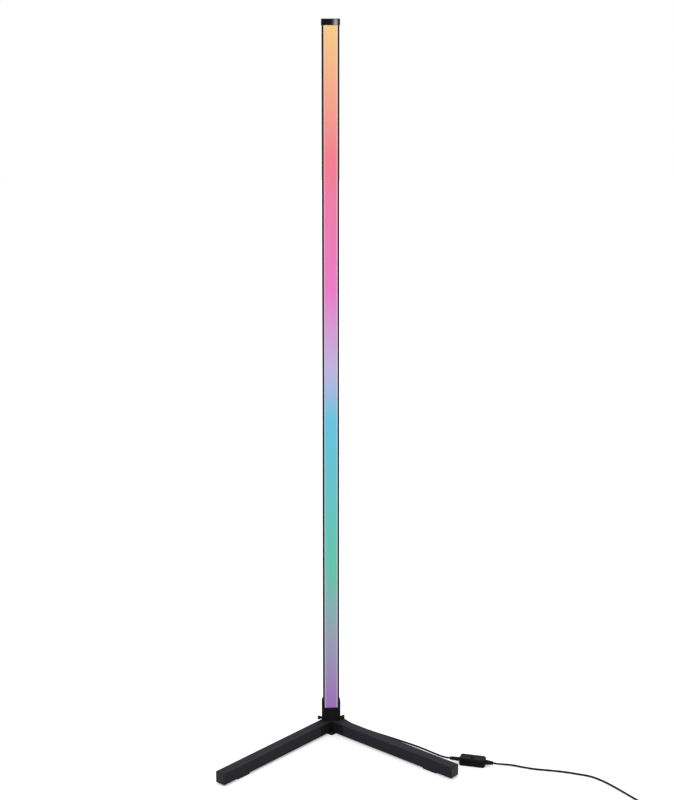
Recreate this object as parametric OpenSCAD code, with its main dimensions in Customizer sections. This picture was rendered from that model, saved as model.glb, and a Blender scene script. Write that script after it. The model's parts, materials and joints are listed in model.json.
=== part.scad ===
// Corner floor lamp: a slim light column of three aluminium sections on a right-angled base.
// Millimetres, +Z up. The origin is on the floor where the centre lines of the two legs cross,
// under the column. The light faces -Y, into the right angle that the legs open, and +X is to the
// right of somebody who faces the light.

/* [Column] */
// Length of one of the three column sections
section_len = 452; // [440:1:470]
// Width of the aluminium profile
column_w = 32; // [30:0.5:36]
// Distance from the column's axis to its front face
column_front = 12; // [11:0.5:14]
// Distance from the column's axis to its back
column_back = 10; // [9.5:0.5:13]
// Radius of the profile's two rear edges
back_r = 8; // [5:0.5:9]
// Radius of the profile's two front edges
front_r = 0.8; // [0.4:0.1:1.2]
// Wall of the profile
profile_wall = 1.5; // [1.2:0.1:2]
// Width of the black lip on each side of the diffuser
lip_w = 3.1; // [2.6:0.1:4]
// Thickness of that lip
lip_t = 1.2; // [0.8:0.1:1.6]
// Depth of the light chamber, from the diffuser groove to the web that carries the strip
light_chamber_d = 7.2; // [6.8:0.2:8]
// Thickness of that web
web_t = 1.4; // [1:0.1:1.8]
// Open line between two sections
seam_gap = 0.3; // [0.1:0.1:0.6]

/* [Light] */
// Height of the diffuser's curved front over its edges
diffuser_crown = 0.6; // [0.3:0.1:1]
// Width of the light strip
strip_w = 10; // [8:1:12]
// Distance from one light chip to the next
chip_pitch = 33.3; // [25:0.1:50]
// Side of a light chip
chip_w = 5; // [3:0.5:5]
// Height of a light chip
chip_h = 1.6; // [1:0.1:2]

/* [Cap] */
// Height of the top cap
cap_h = 11.5; // [9:0.5:16]
// How far the cap stands out past the profile
cap_proud = 1.2; // [0.9:0.1:1.8]
// Thickness of the cap's roof
cap_roof = 2; // [1.5:0.1:3]

/* [Joiners] */
// Length of the bar that joins two sections
joiner_len = 64; // [50:2:90]
// Distance from a joint to each of its screws
joiner_screw_at = 18; // [12:1:22]

/* [Hub] */
// Height of the socket's floor, on which the column stands
socket_floor = 42; // [40:0.5:46]
// Height of the socket's sides and back over its floor
socket_side_h = 24.5; // [20:0.5:34]
// Height of the socket's front wall over its floor
socket_front_h = 11.5; // [8:0.5:16]
// Wall of the socket
socket_wall = 2.35; // [1.6:0.05:3]
// Length of a hub arm, from the lamp's axis to the leg's seam
arm_len = 42; // [40:1:50]
// How far a hub arm reaches into its leg
stub_len = 30; // [26:1:40]

/* [Legs] */
// Distance from the lamp's axis to the tip of a leg
leg_reach = 314.5; // [280:0.5:360]
// Width of a leg
leg_w = 22.6; // [19:0.2:24]
// Height of a leg
leg_h = 23; // [21:0.5:24]
// Wall of a leg's steel tube
leg_wall = 1.6; // [1.2:0.1:2.2]
// Radius of a leg's long edges
leg_edge_r = 1.8; // [1:0.1:2.4]
// Thickness of the cap on a leg's tip
end_cap_t = 2.6; // [2:0.1:4]
// Thickness of the rubber feet
foot_t = 2.4; // [2.4:0.1:5]
// Length of a leg's rubber foot
foot_len = 36; // [28:1:50]
// Width of a leg's rubber foot
foot_w = 20.8; // [14:0.2:21]
// Distance from a foot's outer end to the tip of its leg
foot_inset = 36.5; // [20:0.5:60]
// Side of the square foot under the hub, whose front corner shows between the legs
hub_foot_w = 30; // [24:1:34]
// Distance from the column's axis forward to the middle of that foot
hub_foot_at = 7.5; // [4:0.5:10]

/* [Side screws] */
// Diameter of a side screw's knurled head
thumb_d = 7.6; // [6.5:0.1:8.6]
// Length of that head
thumb_len = 6; // [4:0.5:9]
// Length of the neck under the head
thumb_neck = 2.5; // [1.5:0.1:4]
// Diameter of the screw's shank
thumb_shank_d = 4; // [3:0.1:5]

/* [Controller] */
// Length of the in-line controller
ctrl_len = 50; // [46:1:60]
// Width of the controller
ctrl_w = 24; // [22:0.5:30]
// Height of the controller
ctrl_h = 15; // [14:0.5:18]
// Wall of its two shells
ctrl_wall = 1.5; // [1.2:0.1:2]
// Cut on the corners of its outline
ctrl_corner = 3.2; // [2:0.2:4.4]
// Diameter of the button
button_d = 6.8; // [5:0.1:8]
// How far the button travels when it is pressed
button_travel = 0.8; // [0.5:0.1:0.9]
// How far the button stands out of the cover
button_proud = 1.2; // [1:0.1:2]
// Length of the boot on the lamp's side
lead_boot_len = 19; // [16:0.5:24]
// Length of the boot on the plug's side
cord_boot_len = 15; // [13:0.5:22]

/* [Cord] */
// Diameter of the cord
cord_d = 3.8; // [3.2:0.1:4.2]
// Radius of the coil at the middle of its turns
coil_r = 21; // [19:0.5:24]
// Turns side by side in the coil
coil_wide = 4; // [3:1:5]
// Layers of turns
coil_layers = 2; // [1:1:3]
// Width of the tie round the coil, in degrees of the coil
tie_angle = 18; // [10:1:30]

/* [Plug] */
// Length of the plug's grip
grip_len = 22; // [18:0.5:28]
// Width of the grip
grip_w = 15.6; // [14:0.2:17]
// Thickness of the grip
grip_h = 8; // [7:0.2:10]
// Width of the metal shell
shell_w = 12; // [12:0.1:12]
// Thickness of the metal shell
shell_h = 4.5; // [4.5:0.1:4.5]
// Length of the metal shell outside the grip
shell_len = 18.5; // [18.5:0.1:18.5]

/* [Hidden] */
$fn = 48;

smooth = 96;        // facets of a large circle
slide = 0.15;       // clearance of a piece that slides into another
snug = 0.05;        // clearance round a shank in its hole
reach = 1;          // how far a cutter runs past the face it cuts
black = "#242329";
black_plastic = "#2b2a2e";
rubber_black = "#1b1b1d";
steel = "#9a9ca0";

// heights of the column, from the floor
joint_1 = socket_floor + section_len;
joint_2 = socket_floor + 2 * section_len;
column_top = socket_floor + 3 * section_len;
lamp_h = column_top + cap_roof;
sections_len = section_len - seam_gap;

// the profile's section, front at -Y
groove_d = 1.6;
rib = 0.8;
slot_half = column_w / 2 - lip_w;
chamber_half = column_w / 2 - profile_wall;
groove_front = -column_front + lip_t;
groove_back = groove_front + groove_d;
web_front = groove_back + light_chamber_d;
web_back = web_front + web_t;

// the diffuser in its groove
diffuser_t = groove_d - 0.2;
diffuser_skin = 1.3;
diffuser_foot = 1.6;

// the strip on the web
strip_t = 0.4;
strip_end = 18;     // from the end of the column to the end of the strip
connector_w = 12;
connector_h = 12;
connector_d = 4.6;

// screws of the column
cs_head_d = 5.6;
cs_head_h = 1.3;
cs_shank_d = 3;
cs_len = 7;
plug_screw_x = 7;
plug_screw_z = 12;  // over the socket's floor

// the plug that fills the foot of the column
plug_insert_len = 32;
tongue_w = 24;
tongue_front = -9;
tongue_back = 7;
tongue_len = 23;

// the hub
arm_top = foot_t + leg_h;
hub_under = foot_t;
pocket_floor = hub_under + 3.5;
thumb_y = -6;
thumb_z = arm_top + thumb_d / 2 + 0.4;
thumb_tip = 4.5;
hub_half = column_w / 2 + slide + socket_wall;
hub_back = column_back + slide + socket_wall;
hub_front = -column_front - slide - socket_wall;

// the cord's way through the hub
cord_r = cord_d / 2;
wire_y = web_front - strip_t - connector_d / 2;
exit_z = hub_under + 8.6;
wire_bend = 8;
gland_flange_d = 11;
gland_flange_t = 1.5;
gland_sleeve_d = 8;
gland_boot = 9;
gland_tip = hub_back + gland_flange_t + gland_boot;

// the legs
tube_start = arm_len + 0.2;
tube_end = leg_reach - end_cap_t;
foot_at = leg_reach - foot_inset - foot_len / 2;
foot_stud_d = 5;
leg_screw_at = [arm_len + 9, arm_len + 21];
leg_screw_d = 4;
leg_screw_head_d = 7.4;
leg_screw_head_h = 2.2;

// the controller, along its own X axis
ctrl_at = [264, -168, 0];
ctrl_turn = -18.5;
ctrl_seam = ctrl_h / 2;
cord_axis_z = ctrl_seam;
board_z = 5;
board_t = 1.2;
post_x = 15;
post_d = 6;
post_screw_d = 2;
switch_w = 6;
switch_h = 3.5;
plunger_d = 3.2;
plunger_h = 0.8;
boot_neck_d = 6;
boot_flange_d = 8.4;
boot_flange_t = 1.4;
roof_under = ctrl_h - ctrl_wall;

// the coil and the plug
coil_at = [556, -400, 0];
tie_t = 0.8;
coil_lift = tie_t + 0.1;
coil_w = coil_wide * cord_d;
coil_h = coil_layers * cord_d;
plug_at = [536, -432, grip_h / 2];
plug_boot = 6;
shell_t = 0.3;
contact_w = 1;
contact_pitch = 2.3;

// ways of the cord: the points that it passes, chosen by hand
lamp_lead_way = [
    [0, gland_tip, exit_z], [0.1, 28.3, 10.9], [3.2, 35, 9.7], [10.3, 39.8, 7.8],
    [20, 40.3, 5.7], [28.8, 35.5, 4], [40, 21.5, 2.4], [55.5, 5, 2], [72, -10.8, 2],
    [90, -26.4, 2], [108, -41.3, 2], [127, -57, 2], [145, -72.2, 2], [161, -87.3, 2.5],
    [177, -105, 3.4], [192.5, -125.5, 4.9], [205.5, -142, 6.3], [214.5, -150.7, 7.3],
    ctrl_point(-ctrl_len / 2 - lead_boot_len)];
supply_cord_way = [
    ctrl_point(ctrl_len / 2 + cord_boot_len), [311, -182.4, 6.4], [324, -180.4, 4],
    [338, -180.8, 2.4], [357, -189.5, 2], [379, -199, 2], [404, -205.8, 2], [430, -213.3, 2],
    [456, -223.8, 2], [481, -236.3, 2], [498, -253.5, 2], [512, -273.5, 2], [527, -298.5, 2],
    [541, -323, 2], [556, -348, 2], [569, -371, 2.5], [578.6, -386, 2.8]];
plug_tail_way = [
    [582.4, -395.5, 6.6], [585, -406, 6.2], [583, -419, 4.6], [573, -429, 3],
    [559, -432, 2.4], [546, -432, 3.2], plug_at];

function ctrl_point(along) = [
    ctrl_at[0] + along * cos(ctrl_turn), ctrl_at[1] + along * sin(ctrl_turn), cord_axis_z];

// ---------- shared outlines and helpers ----------

// Rectangle with radius rf on its front corners and rb on its back corners.
module rounded(x, y0, y1, rf, rb) {
    translate([-x, y0 + rf]) square([2 * x, y1 - rb - y0 - rf]);
    translate([rf - x, y0]) square([2 * (x - rf), y1 - rb - y0]);
    translate([rb - x, y0 + rf]) square([2 * (x - rb), y1 - y0 - rf]);
    for (side = [-1, 1]) {
        translate([side * (x - rf), y0 + rf]) circle(r = rf);
        translate([side * (x - rb), y1 - rb]) circle(r = rb);
    }
}

// The column's outline, grown by the same amount on every side.
module column_shape(grow = 0) {
    rounded(column_w / 2 + grow, -column_front - grow, column_back + grow,
        max(front_r + grow, 0.3), back_r + grow);
}

// The rear chamber of the profile, less a clearance.
module chamber_shape(gap = 0) {
    intersection() {
        column_shape(-profile_wall - gap);
        translate([-column_w, web_back + gap]) square([2 * column_w, column_d()]);
    }
}

function column_d() = column_front + column_back;

// The outline of a leg, seen along it, less a wall.
module leg_shape(wall = 0) {
    half = leg_w / 2 - wall;
    translate([0, foot_t + leg_h / 2])
        rounded(half, wall - leg_h / 2, leg_h / 2 - wall,
            max(leg_edge_r - wall, 0.4), max(leg_edge_r - wall, 0.4));
}

// Turns the children so that +X runs along the right leg.
module along_right_leg() {
    rotate([0, 0, -45]) children();
}

module mirrored_left() {
    mirror([1, 0, 0]) children();
}

// A bar with the leg's outline from one distance to another.
module leg_bar(from, to, wall = 0) {
    translate([from, 0, 0]) rotate([90, 0, 90]) linear_extrude(to - from) leg_shape(wall);
}

module on_controller() {
    translate(ctrl_at) rotate([0, 0, ctrl_turn]) children();
}

// ---------- the column ----------

module profile_shape() {
    difference() {
        column_shape();
        chamber_shape();
        translate([-chamber_half, groove_front])
            square([2 * chamber_half, web_front - groove_front]);
        translate([-slot_half, -column_front - reach])
            square([2 * slot_half, lip_t + reach + 0.1]);
    }
    for (side = [-1, 1])
        translate([side * (chamber_half - rib / 2 + 0.2) - rib / 2 - 0.2, groove_back])
            square([rib + 0.4, rib]);
}

// Places the children at a screw of the column's back, with +Z into the column.
module at_back(x, z) {
    translate([x, column_back, z]) rotate([90, 0, 0]) children();
}

module countersink() {
    translate([0, 0, -reach]) cylinder(d = cs_shank_d + 2 * snug, h = cs_len + reach + 1);
    cylinder(d1 = cs_head_d + 2 * snug, d2 = cs_shank_d + 2 * snug, h = cs_head_h);
}

module profile(bottom, screws) {
    color(black) difference() {
        translate([0, 0, bottom]) linear_extrude(sections_len) profile_shape();
        for (s = screws) at_back(s[0], s[1]) countersink();
    }
}

plug_screw_spots = [for (side = [-1, 1]) [side * plug_screw_x, socket_floor + plug_screw_z]];
joint_spots = [for (joint = [joint_1, joint_2]) for (side = [-1, 1]) [0, joint + side * joiner_screw_at]];

module lower_profile() {
    profile(socket_floor, concat(plug_screw_spots, [joint_spots[0]]));
}

module middle_profile() {
    profile(joint_1, [joint_spots[1], joint_spots[2]]);
}

module upper_profile() {
    profile(joint_2, [joint_spots[3]]);
}

// A bar with drafted ends that slides into both sections at a joint.
module joiner(joint) {
    color(steel) difference() {
        translate([0, 0, joint - joiner_len / 2]) linear_extrude(joiner_len) chamber_shape(slide);
        for (side = [-1, 1]) {
            at_back(0, joint + side * joiner_screw_at)
                cylinder(d = cs_shank_d + 2 * snug, h = cs_len + 0.4);
            translate([side * (column_w / 2 + 4), 0, joint]) cylinder(r = 7.2, h = 3, center = true);
        }
    }
}

module lower_joiner() {
    joiner(joint_1);
}

module upper_joiner() {
    joiner(joint_2);
}

module column_screws() {
    color(steel) for (s = concat(plug_screw_spots, joint_spots)) at_back(s[0], s[1])
        difference() {
            union() {
                cylinder(d1 = cs_head_d, d2 = cs_shank_d, h = cs_head_h);
                cylinder(d = cs_shank_d, h = cs_len);
            }
            translate([0, 0, -reach]) cylinder(d = 2.2, h = reach + 1.2, $fn = 6);
        }
}

// ---------- the light ----------

module diffuser_shape() {
    front_half = slot_half - 0.1;
    crown_r = (pow(front_half, 2) + pow(diffuser_crown, 2)) / (2 * diffuser_crown);
    flange_half = chamber_half - 0.15;
    difference() {
        union() {
            intersection() {
                translate([-front_half, -column_front]) square([2 * front_half, lip_t + diffuser_t]);
                translate([0, crown_r - column_front]) circle(r = crown_r, $fn = 360);
            }
            translate([-flange_half, groove_front + 0.1]) square([2 * flange_half, diffuser_t]);
        }
        translate([diffuser_foot - front_half, diffuser_skin + diffuser_crown - column_front])
            square([2 * (front_half - diffuser_foot), column_d()]);
    }
}

module diffuser() {
    color("white") translate([0, 0, socket_floor + 0.3])
        linear_extrude(3 * section_len - 0.8) diffuser_shape();
}

strip_bottom = socket_floor + strip_end;
strip_len = 3 * section_len - 2 * strip_end;

module led_strip() {
    color("white") translate([-strip_w / 2, web_front - strip_t, strip_bottom])
        cube([strip_w, strip_t, strip_len]);
}

module led_chips() {
    chips = floor((strip_len - chip_w) / chip_pitch);
    first = strip_bottom + (strip_len - chips * chip_pitch) / 2;
    color("lightyellow") for (i = [0:chips])
        translate([-chip_w / 2, web_front - strip_t - chip_h, first + i * chip_pitch - chip_w / 2])
            cube([chip_w, chip_h, chip_w]);
}

// The clip that joins the lead to the strip's lower end.
module strip_connector() {
    color("ivory") translate([-connector_w / 2, web_front - connector_d, strip_bottom - connector_h])
        difference() {
            cube([connector_w, connector_d, connector_h]);
            for (x = [2, connector_w - 4])
                translate([x, -reach, 3]) cube([2, reach + 0.8, connector_h - 6]);
        }
}

// ---------- the cap ----------

module top_cap() {
    bottom = lamp_h - cap_h;
    edge = 0.7;
    line = lamp_h - cap_roof - 0.9;
    color(black_plastic) {
        difference() {
            union() {
                translate([0, 0, bottom]) linear_extrude(cap_h - edge) column_shape(cap_proud);
                hull() {
                    translate([0, 0, lamp_h - edge - 0.01]) linear_extrude(0.01)
                        column_shape(cap_proud, $fn = 32);
                    translate([0, 0, lamp_h - 0.01]) linear_extrude(0.01)
                        column_shape(cap_proud - edge, $fn = 32);
                }
            }
            translate([0, 0, bottom - reach]) linear_extrude(column_top + 0.1 - bottom + reach)
                column_shape(slide);
            translate([0, 0, line]) linear_extrude(0.9) difference() {
                column_shape(cap_proud + reach);
                column_shape(cap_proud - 0.45);
            }
        }
        // spigot in the profile's rear chamber
        translate([0, 0, bottom - 3]) linear_extrude(column_top + 0.5 - bottom + 3) difference() {
            chamber_shape(slide);
            translate([1.4 - chamber_half, web_back + 1.4])
                square([2 * (chamber_half - 1.4), column_back - profile_wall - web_back - 3]);
        }
    }
}

// ---------- the foot of the column and the hub ----------

module base_plug() {
    top = socket_floor;
    color(black_plastic) difference() {
        union() {
            translate([0, 0, top]) linear_extrude(plug_insert_len) chamber_shape(slide);
            translate([0, 0, top - tongue_len]) linear_extrude(tongue_len)
                rounded(tongue_w / 2, tongue_front, tongue_back, 1, 1);
            translate([-tongue_w / 2 + 2, web_back + 1, top - 6])
                cube([tongue_w - 4, tongue_back - web_back - 2, 12]);
        }
        translate([0, wire_y, top - tongue_len - reach])
            cylinder(r = cord_r + 0.4, h = tongue_len + 2 * reach);
        for (side = [-1, 1]) translate([side * (thumb_tip - 0.5), thumb_y, thumb_z])
            rotate([0, side * 90, 0]) cylinder(d = thumb_shank_d + 2 * snug, h = tongue_w);
        for (s = plug_screw_spots) at_back(s[0], s[1])
            cylinder(d = cs_shank_d + 2 * snug, h = cs_len + 0.4);
    }
}

// One arm of the hub and the stub that its leg slides over.
module hub_arm() {
    along_right_leg() difference() {
        union() {
            leg_bar(0, arm_len);
            leg_bar(arm_len - 1, arm_len + stub_len, leg_wall + slide);
        }
        for (x = leg_screw_at) translate([x, 0, hub_under])
            cylinder(d = leg_screw_d + 2 * snug, h = 10);
    }
}

module hub() {
    side_top = socket_floor + socket_side_h;
    front_top = socket_floor + socket_front_h;
    color(black) difference() {
        union() {
            hub_arm();
            mirrored_left() hub_arm();
            translate([0, 0, hub_under + 0.8]) linear_extrude(side_top - hub_under - 0.8)
                column_shape(slide + socket_wall);
        }
        // socket of the column
        translate([0, 0, socket_floor]) linear_extrude(socket_side_h + reach) column_shape(slide);
        // lower front wall, so that the light shows
        translate([-column_w / 2 - slide, hub_front - reach, front_top])
            cube([column_w + 2 * slide, socket_wall + reach + front_r + 1, socket_side_h]);
        // pocket of the tongue, and room below it for the lead
        translate([0, 0, pocket_floor]) linear_extrude(socket_floor - pocket_floor + reach)
            rounded(tongue_w / 2 + slide, tongue_front - slide, tongue_back + slide, 1, 1);
        // way out for the lead
        translate([0, hub_back + reach, exit_z]) rotate([90, 0, 0])
            cylinder(d = gland_sleeve_d + 2 * snug, h = hub_back - tongue_back + reach + 1);
        // bores of the side screws
        translate([0, thumb_y, thumb_z]) rotate([0, 90, 0])
            cylinder(d = thumb_shank_d + 2 * snug, h = 2 * hub_half + 2 * reach, center = true);
    }
}

module hub_foot() {
    color(rubber_black) translate([0, -hub_foot_at, 0]) rotate([0, 0, 45]) linear_extrude(foot_t)
        rounded(hub_foot_w / 2, -hub_foot_w / 2, hub_foot_w / 2, 4, 4);
}

// A knurled screw, drawn on the right side.
module thumb_screw() {
    neck_start = hub_half + 0.1;
    head_start = neck_start + thumb_neck;
    color(black) translate([0, thumb_y, thumb_z]) rotate([0, 90, 0]) difference() {
        rotate_extrude() polygon([
            [0, thumb_tip], [thumb_shank_d / 2 - 0.4, thumb_tip],
            [thumb_shank_d / 2, thumb_tip + 0.4], [thumb_shank_d / 2, neck_start],
            [thumb_d * 0.34, neck_start], [thumb_d * 0.34, head_start],
            [thumb_d / 2 - 0.4, head_start], [thumb_d / 2, head_start + 0.4],
            [thumb_d / 2, head_start + thumb_len - 0.9],
            [thumb_d / 2 - 0.9, head_start + thumb_len], [0, head_start + thumb_len]]);
        for (turn = [0:18:342]) rotate([0, 0, turn])
            translate([thumb_d / 2 + 0.25, 0, head_start - reach / 2])
                cylinder(r = 0.55, h = thumb_len + reach, $fn = 24);
    }
}

module thumb_screw_right() {
    thumb_screw();
}

module thumb_screw_left() {
    mirrored_left() thumb_screw();
}

// ---------- the legs ----------

module leg() {
    color(black) along_right_leg() difference() {
        leg_bar(tube_start, tube_end);
        leg_bar(tube_start - reach, tube_end + reach, leg_wall);
        translate([foot_at, 0, 0]) cylinder(d = foot_stud_d + 2 * snug, h = foot_t + leg_wall + 1);
        for (x = leg_screw_at) translate([x, 0, 0])
            cylinder(d = leg_screw_d + 0.4, h = foot_t + leg_wall + 1);
    }
}

module right_leg() {
    leg();
}

module left_leg() {
    mirrored_left() leg();
}

module end_cap() {
    edge = 0.9;
    plug_wall = leg_wall + slide;
    color(black_plastic) along_right_leg() {
        leg_bar(tube_end, leg_reach - edge);
        hull() {
            leg_bar(leg_reach - edge - 0.01, leg_reach - edge, $fn = 24);
            leg_bar(leg_reach - 0.01, leg_reach, edge, $fn = 24);
        }
        difference() {
            leg_bar(tube_end - 11, tube_end + 0.5, plug_wall);
            leg_bar(tube_end - 12, tube_end - 0.5, plug_wall + 1.6);
        }
    }
}

module right_end_cap() {
    end_cap();
}

module left_end_cap() {
    mirrored_left() end_cap();
}

// A rubber pad with round ends and a stud that clips into the leg.
module foot() {
    corner = 5;
    color(rubber_black) along_right_leg() {
        translate([foot_at, 0, 0]) rotate([0, 0, 90]) linear_extrude(foot_t)
            rounded(foot_w / 2, -foot_len / 2, foot_len / 2, corner, corner);
        translate([foot_at, 0, foot_t - 0.5]) cylinder(d = foot_stud_d, h = leg_wall + 1.5);
    }
}

module right_foot() {
    foot();
}

module left_foot() {
    mirrored_left() foot();
}

module leg_screw_pair() {
    along_right_leg() for (x = leg_screw_at) translate([x, 0, hub_under]) difference() {
        union() {
            translate([0, 0, -leg_screw_head_h]) cylinder(d = leg_screw_head_d, h = leg_screw_head_h);
            cylinder(d = leg_screw_d, h = 9);
        }
        translate([0, 0, -leg_screw_head_h - reach])
            cylinder(d = 2.8, h = reach + 1.4, $fn = 6);
    }
}

module leg_screws() {
    color(steel) {
        leg_screw_pair();
        mirrored_left() leg_screw_pair();
    }
}

// ---------- the lead from the light to the controller ----------

module cable_gland() {
    grip = cord_r + 0.9;
    color(rubber_black) translate([0, tongue_back + slide, exit_z]) rotate([-90, 0, 0])
        rotate_extrude() polygon([
            [0, 0], [gland_sleeve_d / 2, 0],
            [gland_sleeve_d / 2, hub_back - tongue_back - slide],
            [gland_flange_d / 2, hub_back - tongue_back - slide],
            [gland_flange_d / 2, hub_back - tongue_back - slide + gland_flange_t],
            [grip + 1.3, hub_back - tongue_back - slide + gland_flange_t],
            [grip + 0.9, hub_back - tongue_back - slide + gland_flange_t + gland_boot * 0.4],
            [grip + 0.3, hub_back - tongue_back - slide + gland_flange_t + gland_boot * 0.4],
            [grip + 0.2, hub_back - tongue_back - slide + gland_flange_t + gland_boot * 0.5],
            [grip + 0.8, hub_back - tongue_back - slide + gland_flange_t + gland_boot * 0.5],
            [grip, hub_back - tongue_back - slide + gland_flange_t + gland_boot],
            [0, hub_back - tongue_back - slide + gland_flange_t + gland_boot]]);
}

// Down from the strip's connector, round one bend and back to the gland.
module inner_lead() {
    bend_z = exit_z + wire_bend;
    top = strip_bottom - connector_h;
    color(rubber_black) {
        translate([0, wire_y, bend_z]) cylinder(r = cord_r, h = top - bend_z);
        translate([0, wire_y + wire_bend, bend_z]) rotate([0, 90, 0]) rotate([0, 0, -90])
            rotate_extrude(angle = 90) translate([wire_bend, 0]) circle(r = cord_r);
        translate([0, wire_y + wire_bend, exit_z]) rotate([-90, 0, 0])
            cylinder(r = cord_r, h = tongue_back + slide - wire_y - wire_bend);
    }
}

// ---------- cords ----------

function mid_way(a, b, c, d) = (9 * (b + c) - a - d) / 16;

// The way's points with one more on a smooth curve between each two.
function finer(way) = [
    for (i = [0:len(way) - 2]) each [
        way[i],
        mid_way(way[max(i - 1, 0)], way[i], way[i + 1], way[min(i + 2, len(way) - 1)])],
    way[len(way) - 1]];

function unit(v) = v / norm(v);

function heading(way, i) = unit(way[min(i + 1, len(way) - 1)] - way[max(i - 1, 0)]);

function ring(way, i, sides, r) =
    let (ahead = heading(way, i), side = unit(cross(ahead, [0, 0, 1])), up = cross(side, ahead))
    [for (k = [0:sides - 1])
        let (turn = (k + 0.5) * 360 / sides) way[i] + r * (cos(turn) * side + sin(turn) * up)];

// A tube of eight sides along a way.
module cord_tube(way) {
    sides = 8;
    last = len(way) - 1;
    rows = [for (i = [0:last]) each ring(way, i, sides, cord_r)];
    walls = [
        for (i = [0:last - 1]) for (k = [0:sides - 1])
            let (a = i * sides + k, b = i * sides + (k + 1) % sides) [a, a + sides, b + sides, b]];
    ends = [[for (k = [0:sides - 1]) k], [for (k = [sides - 1:-1:0]) last * sides + k]];
    color(rubber_black) polyhedron(rows, concat(walls, ends));
}

module lamp_lead() {
    cord_tube(finer(lamp_lead_way));
}

module supply_cord() {
    cord_tube(finer(supply_cord_way));
}

module plug_tail() {
    cord_tube(plug_tail_way);
}

module coil_shape(grow = 0) {
    translate([coil_r, coil_lift + coil_h / 2])
        rounded(coil_w / 2 + grow, -coil_h / 2 - grow, coil_h / 2 + grow, cord_r * 0.8, cord_r * 0.8);
}

module cord_coil() {
    color(rubber_black) translate(coil_at) rotate_extrude($fn = smooth) coil_shape();
}

module coil_tie() {
    color(black) translate(coil_at) rotate([0, 0, 180 - tie_angle / 2])
        rotate_extrude(angle = tie_angle, $fn = smooth) difference() {
            coil_shape(tie_t + 0.1);
            coil_shape(0.1);
        }
}

// ---------- the controller ----------

module ctrl_shape(grow = 0) {
    x = ctrl_len / 2 + grow;
    y = ctrl_w / 2 + grow;
    cut = ctrl_corner + grow * 0.6;
    polygon([
        [-x, cut - y], [cut - x, -y], [x - cut, -y], [x, cut - y],
        [x, y - cut], [x - cut, y], [cut - x, y], [-x, y - cut]]);
}

module ctrl_slab(z, grow) {
    translate([0, 0, z]) linear_extrude(0.01) ctrl_shape(grow);
}

// Both ends' openings for the boots.
module boot_holes() {
    for (side = [-1, 1]) translate([side * (ctrl_len / 2 - ctrl_wall / 2), 0, cord_axis_z])
        rotate([0, 90, 0]) cylinder(d = boot_neck_d + 2 * snug, h = ctrl_wall + 2, center = true);
}

module controller_base() {
    color(black_plastic) on_controller() difference() {
        union() {
            difference() {
                hull() {
                    ctrl_slab(0, -0.9);
                    ctrl_slab(0.9, 0);
                    ctrl_slab(ctrl_seam - 0.11, 0);
                }
                translate([0, 0, ctrl_wall]) linear_extrude(ctrl_h) ctrl_shape(-ctrl_wall);
            }
            for (side = [-1, 1]) {
                translate([side * post_x, 0, 0.5]) cylinder(d = post_d, h = board_z - 0.5);
                translate([side * 8 - 0.7, 1 - ctrl_w / 2, 1])
                    cube([1.4, ctrl_w - 2, board_z - 1]);
            }
        }
        boot_holes();
        for (side = [-1, 1]) translate([side * post_x, 0, -reach]) {
            cylinder(d = post_screw_d + 2 * snug, h = board_z + 2 * reach);
            cylinder(d = 4.2, h = reach + 1.8);
        }
    }
}

module controller_cover() {
    color(black_plastic) on_controller() difference() {
        union() {
            difference() {
                hull() {
                    ctrl_slab(ctrl_seam + 0.1, 0);
                    ctrl_slab(ctrl_h - 2.2, 0);
                    ctrl_slab(ctrl_h - 0.8, -0.8);
                    ctrl_slab(ctrl_h - 0.01, -2.4);
                }
                translate([0, 0, -reach]) linear_extrude(roof_under + reach) ctrl_shape(-ctrl_wall);
            }
            for (side = [-1, 1]) translate([side * post_x, 0, board_z + board_t])
                cylinder(d = 4.6, h = ctrl_h - board_z - board_t - 1);
        }
        boot_holes();
        translate([0, 0, ctrl_h / 2]) cylinder(d = button_d + 0.14, h = ctrl_h);
        for (side = [-1, 1]) translate([side * post_x, 0, board_z])
            cylinder(d = post_screw_d + 2 * snug, h = 6);
    }
}

module controller_board() {
    color("darkgreen") on_controller() translate([0, 0, board_z]) difference() {
        linear_extrude(board_t) ctrl_shape(-ctrl_wall - 2.4);
        for (side = [-1, 1]) translate([side * post_x, 0, -reach]) cylinder(d = 2.6, h = 2 * reach + 2);
    }
}

module tact_switch() {
    color(steel) on_controller() translate([0, 0, board_z + board_t]) {
        translate([-switch_w / 2, -switch_w / 2, 0]) cube([switch_w, switch_w, switch_h]);
        cylinder(d = plunger_d, h = switch_h + plunger_h);
    }
}

module controller_button() {
    top = ctrl_h + button_proud;
    flange_top = roof_under - 0.15;
    stem_end = board_z + board_t + switch_h + plunger_h + button_travel + 0.05;
    color(black) on_controller() rotate_extrude() polygon([
        [0, stem_end], [1.5, stem_end], [1.5, flange_top - 1], [button_d / 2 + 1, flange_top - 1],
        [button_d / 2 + 1, flange_top], [button_d / 2, flange_top], [button_d / 2, top - 0.5],
        [button_d / 2 - 0.5, top], [button_d / 4, top - 0.25], [0, top - 0.25]]);
}

module controller_screws() {
    color(steel) on_controller() for (side = [-1, 1]) translate([side * post_x, 0, 0.3])
        difference() {
            union() {
                cylinder(d = 4, h = 1.5);
                cylinder(d = post_screw_d, h = 9.5);
            }
            translate([0, 0, -reach]) cylinder(d = 1.4, h = reach + 0.9, $fn = 6);
        }
}

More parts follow.
